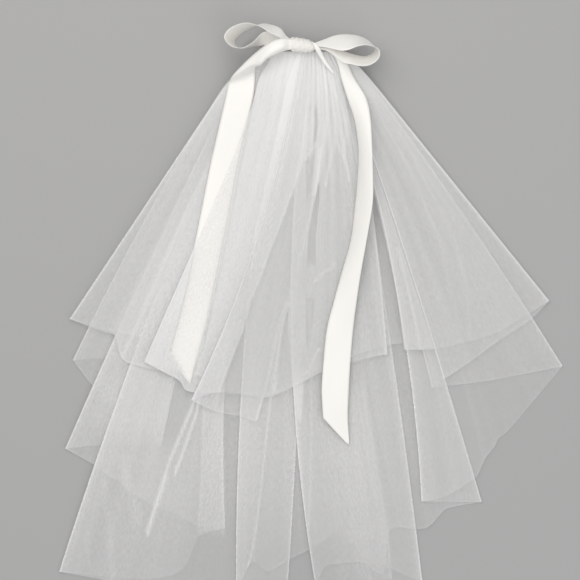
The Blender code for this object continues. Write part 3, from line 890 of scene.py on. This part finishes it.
def turn_columns(line, heading, low, high):
    """The rounded turn at a fold, between the heights of the panel below and the panel above."""
    run = np.gradient(line, axis=0)
    run /= np.linalg.norm(run, axis=1)[:, None]
    side = heading * np.stack([run[:, 1], -run[:, 0]], axis=-1)
    radius = (high - low) / 2
    columns = []
    for angle in np.linspace(0, math.pi, TURN_STEPS + 2)[1:-1]:
        out = line + side * (radius * math.sin(angle))[:, None]
        columns.append(np.column_stack((out, low + radius * (1 - math.cos(angle)))))
    return columns


def rooted(table, first=None, last=None):
    """The sections of a ribbon with its ends run on into the knot."""
    return (() if first is None else (first,)) + tuple(table) + (() if last is None else (last,))


def ribbon(name, table, stack, material, straight=0, per_section=7, across_steps=12):
    """A length of ribbon lofted through its sections, the last ones straight from one to the next.

    With a stack, its heights are above the tulle under it. Its length and its area are returned too.
    """
    values = np.array(table, dtype=float)
    steps = (len(table) - 1) * per_section
    columns = []
    for step in range(steps + 1):
        position = step / per_section
        if position >= len(table) - 1 - straight:
            index = min(int(position), len(table) - 2)
            section = values[index] + (values[index + 1] - values[index]) * (position - index)
        else:
            section = smooth(values, position)
        left = section[0:3]
        right = section[3:6]
        chord = right - left
        normal = np.array((0.0, 0.0, 1.0)) - chord * chord[2] / max(chord @ chord, TINY)
        normal /= max(np.linalg.norm(normal), TINY)
        for number in range(across_steps + 1):
            share = number / across_steps
            columns.append(left + chord * share + normal * section[6] * 4 * share * (1 - share))
    flat = np.array(columns)
    if stack is not None:
        plan = flat[:, 0:2]
        flat[:, 2] += stack.height(plan) + pouf(plan) + ruck(plan)
        flat[:, 2] += TULLE_WALL - LAYER_PITCH + SEAM_GAP + RIBBON_WALL / 2 + RIBBON_CLEARANCE
    grid = flat.reshape(steps + 1, across_steps + 1, 3)
    middle = grid[:, across_steps // 2]
    along = np.concatenate(([0.0], np.cumsum(np.linalg.norm(np.diff(middle, axis=0), axis=1))))
    aside = np.linalg.norm(np.diff(grid, axis=1), axis=2).cumsum(axis=1)
    aside = np.concatenate((np.zeros((steps + 1, 1)), aside), axis=1)
    uv = np.stack([aside, np.repeat(along[:, None], across_steps + 1, axis=1)], axis=-1).reshape(-1, 2)
    piece = grid_object(name, world(flat), steps + 1, across_steps + 1, material)
    set_uv(piece, "cloth", uv * MM)
    shell = piece.modifiers.new("wall", "SOLIDIFY")
    shell.thickness = SATIN_THICKNESS * MM
    shell.offset = 0.0
    shell.use_even_offset = True
    apply_modifiers(piece)
    widths = aside[:, -1]
    area = float(((widths[1:] + widths[:-1]) / 2 * np.diff(along)).sum()) * MM * MM
    return piece, along[-1] * MM, area


def apply_modifiers(thing):
    """Puts what the modifiers make in the place of the object's mesh."""
    view = bpy.context.evaluated_depsgraph_get()
    mesh = bpy.data.meshes.new_from_object(thing.evaluated_get(view))
    old = thing.data
    thing.modifiers.clear()
    thing.data = mesh
    bpy.data.meshes.remove(old)


def knot(name, material):
    """The knot: ribbon drawn tightly round the bow's middle, with the creases it makes."""
    mesh = bmesh.new()
    bmesh.ops.create_uvsphere(mesh, u_segments=KNOT_STEPS[0], v_segments=KNOT_STEPS[1], radius=1.0)
    for vertex in mesh.verts:
        along = max(-1.0, min(1.0, vertex.co.z))
        around = math.atan2(vertex.co.y, vertex.co.x)
        lean = 0.9 * math.sin(around + 0.6) + 0.45 * math.sin(3 * around + 1.3 * along)
        winding = abs(math.sin(along * KNOT_WINDINGS + lean)) ** 0.7
        crinkle = (0.45 * math.sin(23 * along + 2.2 * math.sin(2 * around + 1.0))
                   + 0.3 * math.sin(41 * along + 3 * around) + 0.25 * math.sin(9 * around + 11 * along))
        ridge = KNOT_GROOVE + KNOT_RIDGE * winding + KNOT_CRINKLE * crinkle
        girth = math.sqrt(max(0.0, 1 - abs(along) ** KNOT_BLUNTNESS)) * ridge * (1 - KNOT_TAPER * along)
        vertex.co = world([(
            KNOT_ACROSS + KNOT_RADII[0] * along,
            KNOT_DROP + KNOT_TILT * along - KNOT_RADII[1] * girth * math.cos(around),
            KNOT_HEIGHT + KNOT_RADII[2] * girth * math.sin(around),
        )])[0]
    mesh.normal_update()
    bmesh.ops.recalc_face_normals(mesh, faces=mesh.faces)
    data = bpy.data.meshes.new(name)
    mesh.to_mesh(data)
    mesh.free()
    data.shade_smooth()
    data.materials.append(material)
    thing = bpy.data.objects.new(name, data)
    bpy.context.scene.collection.objects.link(thing)
    return thing


def set_inputs(node, values):
    """Sets a node's inputs by their names."""
    for name, value in values.items():
        node.inputs[name].default_value = value


class Nodes:
    """A short way to write a material's nodes."""

    def __init__(self, name):
        self.material = bpy.data.materials.new(name)
        self.material.use_nodes = True
        self.tree = self.material.node_tree
        self.shader = self.tree.nodes["Principled BSDF"]

    def add(self, kind, **settings):
        node = self.tree.nodes.new(kind)
        for key, value in settings.items():
            setattr(node, key, value)
        return node

    def link(self, source, target):
        self.tree.links.new(source, target)

    def maths(self, operation, first, second, clamp=False):
        """Two values put together, the second of them a value or a plain number."""
        node = self.add("ShaderNodeMath", operation=operation, use_clamp=clamp)
        self.link(first, node.inputs[0])
        if isinstance(second, (int, float)):
            node.inputs[1].default_value = second
        else:
            self.link(second, node.inputs[1])
        return node.outputs[0]

    def attribute(self, name):
        return self.add("ShaderNodeAttribute", attribute_name=name).outputs["Fac"]

    def uv(self, *scale):
        """The cloth's own place across and along in metres, times a scale each way."""
        source = self.add("ShaderNodeUVMap", uv_map="cloth")
        return self.stretched(source.outputs["UV"], (*scale, 1.0))

    def stretched(self, vector, scale):
        node = self.add("ShaderNodeMapping")
        node.inputs["Scale"].default_value = scale
        self.link(vector, node.inputs["Vector"])
        return node.outputs["Vector"]

    def noise(self, vector, detail, flat=True):
        node = self.add("ShaderNodeTexNoise", noise_dimensions="2D" if flat else "3D")
        set_inputs(node, {"Scale": 1.0, "Detail": detail})
        self.link(vector, node.inputs["Vector"])
        return node.outputs["Fac"]

    def ranged(self, value, low, high, to_low, to_high):
        """A value between low and high spread from to_low to to_high."""
        node = self.add("ShaderNodeMapRange")
        set_inputs(node, {"From Min": low, "From Max": high, "To Min": to_low, "To Max": to_high})
        self.link(value, node.inputs["Value"])
        return node.outputs["Result"]

    def tint(self, share, first, second):
        """The base colour goes from the first to the second with the share."""
        node = self.add("ShaderNodeMix", data_type="RGBA")
        set_inputs(node, {"A": (*first, 1.0), "B": (*second, 1.0)})
        self.link(share, node.inputs["Factor"])
        self.link(node.outputs["Result"], self.shader.inputs["Base Color"])

    def bump(self, height, strength, distance):
        node = self.add("ShaderNodeBump")
        set_inputs(node, {"Strength": strength, "Distance": distance})
        self.link(height, node.inputs["Height"])
        self.link(node.outputs["Normal"], self.shader.inputs["Normal"])


def tulle_material():
    """Fine net: threads in small cells, as dense as the sheet's own numbers say, with uneven streaks."""
    nodes = Nodes("tulle_net")
    shader = nodes.shader
    set_inputs(shader, {"Base Color": (*TULLE_WHITE, 1.0), "Roughness": 0.8, "Specular IOR Level": 0.2,
                        "Sheen Weight": 0.25, "Sheen Roughness": 0.5})
    density = nodes.attribute("net_weight")
    # Broad bands and narrow streaks run down the cloth, the streaks where the sheet's number has them
    wide = nodes.ranged(nodes.noise(nodes.uv(14, 1.3), 2.0), 0.3, 0.7, 0.86, 1.16)
    streak = nodes.ranged(nodes.noise(nodes.uv(60, 0.9), 2.0), 0.3, 0.72, -0.55, 0.75)
    narrow = nodes.maths("ADD", nodes.maths("MULTIPLY", streak, nodes.attribute("net_streak")), 1.0)
    grain = nodes.ranged(nodes.noise(nodes.uv(420, 160), 1.0), 0.3, 0.7, 0.86, 1.14)
    cell = nodes.add("ShaderNodeTexVoronoi", voronoi_dimensions="2D", feature="DISTANCE_TO_EDGE")
    set_inputs(cell, {"Scale": 1.0, "Randomness": 0.55})
    nodes.link(nodes.uv(1 / (NET_CELL * MM), 1 / (NET_CELL * MM)), cell.inputs["Vector"])
    # The thread is where two cells meet
    thread = nodes.ranged(cell.outputs["Distance"], 0.07, 0.2, 2.1, 0.55)
    even = nodes.maths("MULTIPLY", density, wide)
    uneven = nodes.maths("MULTIPLY", narrow, grain)
    amount = nodes.maths("MULTIPLY", nodes.maths("MULTIPLY", even, uneven), thread)
    alpha = nodes.maths("MULTIPLY", amount, TULLE_ALPHA)
    nodes.link(nodes.maths("MINIMUM", alpha, TULLE_MOST_ALPHA, clamp=True), shader.inputs["Alpha"])
    return nodes.material


def satin_material():
    """Ribbon with a fine weave, a little uneven in tone and gloss."""
    nodes = Nodes("satin_ribbon")
    shader = nodes.shader
    set_inputs(shader, {"Specular IOR Level": 0.45, "Sheen Weight": 0.25, "Sheen Roughness": 0.35,
                        "Anisotropic": 0.4})
    tone = nodes.noise(nodes.uv(16, 9), 2.0)
    shade = [value * IVORY_SHADE for value in IVORY]
    nodes.tint(nodes.ranged(tone, 0.35, 0.65, 0.0, 1.0), shade, IVORY)
    nodes.link(nodes.ranged(tone, 0.3, 0.7, 0.36, 0.46), shader.inputs["Roughness"])
    weave = nodes.noise(nodes.uv(900, 3600), 1.0)
    rows = nodes.noise(nodes.uv(60, 2600), 1.0)
    nodes.bump(nodes.maths("ADD", weave, rows), 0.25, 0.00006)
    return nodes.material


def knot_material():
    """The same satin, crumpled, its colour painted darker than the ribbons' as shade over the whole knot."""
    nodes = Nodes("satin_knot")
    shader = nodes.shader
    set_inputs(shader, {"Base Color": (*KNOT_IVORY_PAINTED_SHADE, 1.0), "Specular IOR Level": 0.45, "Sheen Weight": 0.25})
    place = nodes.add("ShaderNodeTexCoord").outputs["Object"]
    rub = nodes.noise(nodes.stretched(place, (620, 340, 340)), 3.0, flat=False)
    nodes.link(nodes.ranged(rub, 0.3, 0.7, 0.3, 0.48), shader.inputs["Roughness"])
    nodes.bump(rub, 1.0, 0.001)
    return nodes.material


def plastic_material():
    """The comb's clear plastic, slightly rubbed."""
    nodes = Nodes("clear_comb")
    shader = nodes.shader
    set_inputs(shader, {"IOR": 1.49, "Alpha": 0.45})
    place = nodes.add("ShaderNodeTexCoord").outputs["Object"]
    rub = nodes.noise(nodes.stretched(place, (220, 220, 220)), 3.0)
    nodes.tint(rub, *COMB_TINTS)
    nodes.link(nodes.ranged(rub, 0.3, 0.7, 0.08, 0.2), shader.inputs["Roughness"])
    return nodes.material


def floor_material():
    nodes = Nodes("plain_floor")
    set_inputs(nodes.shader, {"Base Color": (*FLOOR_GREY, 1.0), "Roughness": 0.9, "Specular IOR Level": 0.1})
    return nodes.material


def studio():
    """The floor, the light from all round, two soft lamps and the camera above the photo's middle."""
    scene = bpy.context.scene
    mesh = bpy.data.meshes.new("floor")
    corners = ((-1, -1), (1, -1), (1, 1), (-1, 1))
    mesh.from_pydata([(x * FLOOR_HALF, y * FLOOR_HALF, FLOOR_LEVEL) for x, y in corners], [], [(0, 1, 2, 3)])
    mesh.materials.append(floor_material())
    floor = bpy.data.objects.new("floor", mesh)
    scene.collection.objects.link(floor)

    sky = bpy.data.worlds.new("studio")
    scene.world = sky
    sky.use_nodes = True
    set_inputs(sky.node_tree.nodes["Background"], {"Color": (1.0, 1.0, 1.0, 1.0), "Strength": SKY_STRENGTH})
    for name, place, size, power, colour in LAMPS:
        light = bpy.data.lights.new(name, "AREA")
        light.size = size
        light.energy = power
        light.color = colour
        lamp = bpy.data.objects.new(name, light)
        lamp.location = place
        to_origin = -lamp.location
        lamp.rotation_euler = to_origin.to_track_quat("-Z", "Y").to_euler()
        scene.collection.objects.link(lamp)

    camera = bpy.data.cameras.new("camera")
    camera.sensor_width = SENSOR_WIDTH
    camera.lens = SENSOR_WIDTH * CAMERA_DISTANCE / (PHOTO_PIXELS * MM_PER_PIXEL * MM)
    camera.clip_start = 0.05
    camera.clip_end = 50.0
    eye = bpy.data.objects.new("camera", camera)
    eye.location = ((GATHER_X + VIEW_ACROSS) * MM, (GATHER_Y - VIEW_DROP) * MM, CAMERA_DISTANCE)
    scene.collection.objects.link(eye)
    scene.camera = eye
    scene.view_settings.view_transform = "Standard"
    # A ray may pass through many layers of net
    scene.cycles.transparent_max_bounces = 64
    scene.cycles.max_bounces = 12


studio()

net = tulle_material()
satin = satin_material()

comb_half = COMB_WIDTH / 2
comb_foot = COMB_DROP + COMB_SPINE + COMB_TOOTH_LENGTH
comb_outline = np.array([
    (-comb_half, COMB_DROP), (comb_half, COMB_DROP), (comb_half, comb_foot), (-comb_half, comb_foot)])
stack = Stack()
stack.add(comb_outline, COMB_THICKNESS + COMB_CLEARANCE, reach=COMB_REACH)
lower, _ = tier("tulle_lower_tier", "lower", LOWER_TIER, stack, False, net)
tucked = rims(TAIL_LEFT[TUCK_SECTION:])
upper, under_tail = tier("tulle_upper_tier", "upper", UPPER_TIER, stack, True, net, tucked)
tail_left, tail_left_length, tail_left_area = ribbon(
    "satin_tail_left", rooted(TAIL_LEFT, TAIL_LEFT_ROOT), under_tail, satin, straight=3)
tail_right, tail_right_length, tail_right_area = ribbon(
    "satin_tail_right", TAIL_RIGHT, stack, satin, straight=3)
loop_left, loop_left_length, loop_left_area = ribbon(
    "satin_loop_left", rooted(LOOP_LEFT, LEFT_ROOT_LOW, LEFT_ROOT_HIGH), None, satin)
loop_right, loop_right_length, loop_right_area = ribbon(
    "satin_loop_right", rooted(LOOP_RIGHT, RIGHT_ROOT_LOW, RIGHT_ROOT_HIGH), None, satin)
strand, strand_length, strand_area = ribbon("satin_strand", STRAND, None, satin, across_steps=4)
bow_knot = knot("satin_bow_knot", knot_material())

for piece, node, slot in (
    (lower, "lower_tier", "tulle"),
    (upper, "upper_tier", "tulle"),
    (tail_left, "bow_tail_left", "satin"),
    (tail_right, "bow_tail_right", "satin"),
    (loop_left, "bow_loop_left", "satin"),
    (loop_right, "bow_loop_right", "satin"),
    (strand, "bow_strand", "satin"),
    (bow_knot, "bow_knot", "satin"),
):
    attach(piece, "root")
    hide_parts(node)

comb = bpy.data.objects["comb"]
comb.data.materials.clear()
comb.data.materials.append(plastic_material())
